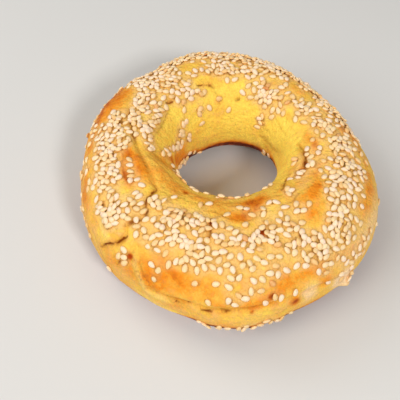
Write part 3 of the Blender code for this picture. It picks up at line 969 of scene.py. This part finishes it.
def among_seeds(points, seeds, settings):
    """Where each point lies among the seeds: how far from the nearest seed's middle, 1 being
    that seed's edge; the same for the second nearest; and how crowded it is, 0 to 1."""
    tree = kdtree.KDTree(len(seeds))
    for number, (place, *_) in enumerate(seeds):
        tree.insert(place, number)
    tree.balance()
    half = np.array((settings.length, settings.width)) / 2.0
    turns = np.array([turn for _, turn, _ in seeds])
    places = np.array([place for place, *_ in seeds])
    found = np.array([[number for _, number, _ in tree.find_n(point, NEIGHBOURS)]
                      for point in points])
    offsets = points[:, None, :] - places[found]
    flat = np.einsum("pnk,pnkj->pnj", offsets, turns[found][..., :2]) / half
    gaps = np.sort(np.hypot(flat[..., 0], flat[..., 1]), axis=1)
    apart = np.linalg.norm(offsets, axis=2) / settings.length
    crowd = np.exp(-(apart / CROWD_REACH) ** 2).sum(axis=1) / CROWD_FULL
    return gaps[:, 0], gaps[:, 1], np.minimum(crowd, 1.0)


def knead_crust(settings, seed_settings):
    """The crust: a sheet of squares wrapped round the ring and joined to itself."""
    dough = bmesh.new()
    bmesh.ops.create_grid(dough, x_segments=settings.ring_steps, y_segments=settings.roll_steps,
                          size=0.5)
    sheet = np.array([vertex.co for vertex in dough.verts])
    around = np.interp(sheet[:, 0] + 0.5, *AROUND_SPACING)
    over = np.interp(sheet[:, 1] + 0.5, *OVER_SPACING)
    points, normals, groove, scorch, ridge = crust_surface(around, over)
    crease_gap, crease = crease_lines(bare_roll(around, over), normals)
    above = points[:, 2] > BASE_RIM
    seed_gap, pinch, crowd = among_seeds(points, lay_seeds(seed_settings), seed_settings)
    seed_gap[~above] = pinch[~above] = CLEAR_OF_SEEDS
    slit = settings.crease_depth * crease * np.exp(-(crease_gap / CREASE_HALF_WIDTH) ** 2) * above
    points += normals * (settings.bed_height * np.exp(-seed_gap ** 2) - slit)[:, None]
    toast = toast_at(around, over) + scorch - RIDGE_PALENESS * ridge
    pale = np.maximum(strongest(around, over, PALE_PATCHES), ridge)
    layers = {"toast": toast, "groove": groove, "scorch": scorch,
              "crease": crease, "crease_gap": crease_gap,
              "seed_gap": seed_gap, "pinch": pinch, "crowd": crowd, "pale": pale}
    for name, values in layers.items():
        layer = dough.verts.layers.float.new(name)
        for vertex, value in zip(dough.verts, values):
            vertex[layer] = value
    for vertex, point in zip(dough.verts, points):
        vertex.co = point
    bmesh.ops.remove_doubles(dough, verts=dough.verts, dist=MERGE_DISTANCE)
    bmesh.ops.recalc_face_normals(dough, faces=dough.faces)
    return as_object("bagel_crust", dough, colour_crust(settings))


def as_object(name, shape, material):
    """Finish a bmesh as a smooth object at the origin, in the scene."""
    mesh = bpy.data.meshes.new(name)
    shape.to_mesh(mesh)
    shape.free()
    mesh.shade_smooth()
    mesh.materials.append(material)
    piece = bpy.data.objects.new(name, mesh)
    bpy.context.scene.collection.objects.link(piece)
    return piece


def colour_seeds(settings):
    """Hulled sesame: ivory, warmer at the tip, warmer underneath as painted shade and crust colour
    where it meets the crust, a few toasted.
    """
    finish = Finish("sesame")
    place = finish.node("ShaderNodeTexCoord", output="Object")
    tone = finish.attribute("tone")
    edge = finish.attribute("edge")
    mottle = finish.mottle(place, SEED_MOTTLE) - 0.5
    # the edge warmth underneath is painted shade where the seed meets the crust, with some crust
    # colour
    warmth = (tone + edge * edge * 0.26 + mottle * 0.25).clamped()
    skin = finish.ramp(warmth, settings, SEED_STOPS)
    grain = finish.mottle(place, SEED_GRAIN)
    finish.surface(Base_Color=skin, Roughness=0.50 + mottle * 0.2,
                   Normal=finish.relief(grain, GRAIN_RELIEF),
                   Specular_IOR_Level=0.25, Subsurface_Weight=0.25,
                   Subsurface_Radius=(1.0, 0.8, 0.5), Subsurface_Scale=0.6 * MM)
    return finish.material


def add_seed(tray, settings, seed, draw):
    """One teardrop seed: a sphere drawn out, narrowed to a tip and laid on the crust."""
    place, turn, sunk = seed
    made = bmesh.ops.create_uvsphere(tray, **SEED_RINGS, radius=0.5)
    plump = draw.uniform(*SIZE_SPREAD)
    long = draw.uniform(*SIZE_SPREAD)
    narrowing = draw.uniform(*NARROWING)
    tone = TONE_SPREAD * draw.random() ** 2 + SUNK_TONE * sunk * draw.random()
    if draw.random() < settings.toasted_share:
        tone += draw.uniform(*TOASTED_TONE)
    tone_layer = tray.verts.layers.float["tone"]
    edge_layer = tray.verts.layers.float["edge"]
    for vertex in made["verts"]:
        along = vertex.co.z * 2.0
        upward = vertex.co.y * 2.0
        width = 1.0 - narrowing * along - narrowing * along * along * (along > 0)
        vertex.co = place + turn @ Vector((along * 0.5 * settings.length * long,
                                           vertex.co.x * settings.width * plump * width,
                                           vertex.co.y * settings.thickness * plump * width))
        vertex[tone_layer] = tone
        # edge: the tip's own warmth, and underneath the seed's painted shade with some crust
        # colour
        vertex[edge_layer] = max(TIP_EDGE * max(along, 0.0), 1.0 - max(0.0, upward) ** 0.7)


def empty_tray():
    """A bmesh ready for seeds."""
    tray = bmesh.new()
    tray.verts.layers.float.new("tone")
    tray.verts.layers.float.new("edge")
    return tray


def scatter_seeds(settings, seeds):
    """All the seeds in one mesh, shaped a small tray at a time."""
    draw = random.Random(settings.random_seed + 1)
    heap = empty_tray()
    for first in range(0, len(seeds), TRAY_LOAD):
        tray = empty_tray()
        for seed in seeds[first:first + TRAY_LOAD]:
            add_seed(tray, settings, seed, draw)
        handful = bpy.data.meshes.new("handful")
        tray.to_mesh(handful)
        tray.free()
        heap.from_mesh(handful)
        bpy.data.meshes.remove(handful)
    bmesh.ops.recalc_face_normals(heap, faces=heap.faces)
    return as_object("sesame_seeds", heap, colour_seeds(settings))


class BAGEL_OT_knead_crust(bpy.types.Operator):
    """Make the baked crust in place of the plain solid"""

    bl_idname = "bagel.knead_crust"
    bl_label = "Knead crust"

    def execute(self, context):
        crust = knead_crust(context.scene.bagel_crust, context.scene.bagel_seeds)
        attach(crust, "root")
        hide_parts("bagel")
        return {"FINISHED"}


class BAGEL_OT_scatter_seeds(bpy.types.Operator):
    """Stick the sesame seeds on the crust"""

    bl_idname = "bagel.scatter_seeds"
    bl_label = "Scatter seeds"

    def execute(self, context):
        settings = context.scene.bagel_seeds
        heap = scatter_seeds(settings, lay_seeds(settings))
        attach(heap, "root")
        return {"FINISHED"}


# ---------------------------------------------------------------- the stage

# Lamps: (place in metres, size in metres, watts)
LAMPS = {
    "key_lamp": ((0.36, -0.62, 0.62), 0.16, 4.75),
    "fill_lamp": ((-0.56, -0.40, 0.62), 0.55, 3.6),
    "top_lamp": ((0.00, 0.10, 1.00), 0.90, 0.6),
    "back_lamp": ((-0.50, 0.34, 0.60), 0.50, 2.1),
}
VIEW_SHIFT = (-0.0715, -0.035)
VIEW_TARGET = Vector((*HOLE_CENTRE, 8.4 * MM))
SENSOR_WIDTH = 36.0                     # mm
CLIP_START = 0.01
FLOOR_SIZE = 2.0
FLOOR_DROP = 0.05 * MM                  # keeps the floor clear of the flat base
ROOM_COLOUR = (1.0, 0.98, 0.95, 1.0)
ROOM_STRENGTH = 0.24


def lay_floor(settings):
    """A wide plain floor, just under the bagel."""
    shape = bmesh.new()
    bmesh.ops.create_grid(shape, x_segments=1, y_segments=1, size=FLOOR_SIZE)
    bmesh.ops.translate(shape, verts=shape.verts, vec=(0, 0, -FLOOR_DROP))
    finish = Finish("plain_floor")
    finish.surface(Base_Color=(*settings.floor, 1.0), Roughness=0.85)
    return as_object("floor", shape, finish.material)


def aim(name, data, place):
    """Hang a lamp or a camera at a place, turned to the bagel."""
    holder = bpy.data.objects.new(name, data)
    holder.location = place
    holder.rotation_euler = (VIEW_TARGET - Vector(place)).to_track_quat("-Z", "Y").to_euler()
    bpy.context.scene.collection.objects.link(holder)
    return holder


def hang_lamp(name, place, size, watts):
    """A soft square lamp."""
    lamp = bpy.data.lights.new(name, "AREA")
    lamp.size = size
    lamp.energy = watts
    aim(name, lamp, place)


def place_camera(settings):
    """A camera above the near side, looking down."""
    lens = bpy.data.cameras.new("camera")
    lens.lens = settings.lens
    lens.sensor_width = SENSOR_WIDTH
    lens.shift_x, lens.shift_y = VIEW_SHIFT
    lens.clip_start = CLIP_START
    back = Vector((0.0, -math.cos(settings.height_angle), math.sin(settings.height_angle)))
    bpy.context.scene.camera = aim("camera", lens, VIEW_TARGET + back * settings.distance)


def light_room(strength):
    """Even pale light from all round."""
    world = bpy.data.worlds.new("studio")
    world.use_nodes = True
    sky = world.node_tree.nodes["Background"]
    sky.inputs["Color"].default_value = ROOM_COLOUR
    sky.inputs["Strength"].default_value = ROOM_STRENGTH * strength
    bpy.context.scene.world = world


class BAGEL_OT_set_stage(bpy.types.Operator):
    """Lay the floor, hang the lamps and place the camera"""

    bl_idname = "bagel.set_stage"
    bl_label = "Set stage"

    def execute(self, context):
        settings = context.scene.bagel_stage
        lay_floor(settings)
        for name, (place, size, watts) in LAMPS.items():
            hang_lamp(name, place, size, watts * settings.light)
        light_room(settings.light)
        place_camera(settings)
        context.scene.view_settings.view_transform = "Standard"
        return {"FINISHED"}


# Each step: its operator, the scene's property that holds its settings, and their class
STEPS = (("bagel.knead_crust", "bagel_crust", CrustSettings),
         ("bagel.scatter_seeds", "bagel_seeds", SeedSettings),
         ("bagel.set_stage", "bagel_stage", StageSettings))


class BAGEL_PT_panel(bpy.types.Panel):
    """Sizes, colours and steps of the bagel"""

    bl_idname = "BAGEL_PT_panel"
    bl_label = "Sesame bagel"
    bl_space_type = "VIEW_3D"
    bl_region_type = "UI"
    bl_category = "Bagel"

    def draw(self, context):
        for operator, group, kind in STEPS:
            box = self.layout.box()
            for name in kind.__annotations__:
                box.prop(getattr(context.scene, group), name)
            box.operator(operator)


CLASSES = (CrustSettings, SeedSettings, StageSettings, BAGEL_OT_knead_crust,
           BAGEL_OT_scatter_seeds, BAGEL_OT_set_stage, BAGEL_PT_panel)


def register():
    """Make the settings, steps and panel known to Blender."""
    for kind in CLASSES:
        bpy.utils.register_class(kind)
    for _, group, kind in STEPS:
        setattr(bpy.types.Scene, group, bpy.props.PointerProperty(type=kind))


def unregister():
    """Take them away again."""
    for _, group, _ in STEPS:
        delattr(bpy.types.Scene, group)
    for kind in reversed(CLASSES):
        bpy.utils.unregister_class(kind)


def main():
    """Make the bagel and its stage."""
    register()
    bpy.ops.bagel.knead_crust()
    bpy.ops.bagel.scatter_seeds()
    bpy.ops.bagel.set_stage()


if __name__ == "__main__":
    main()
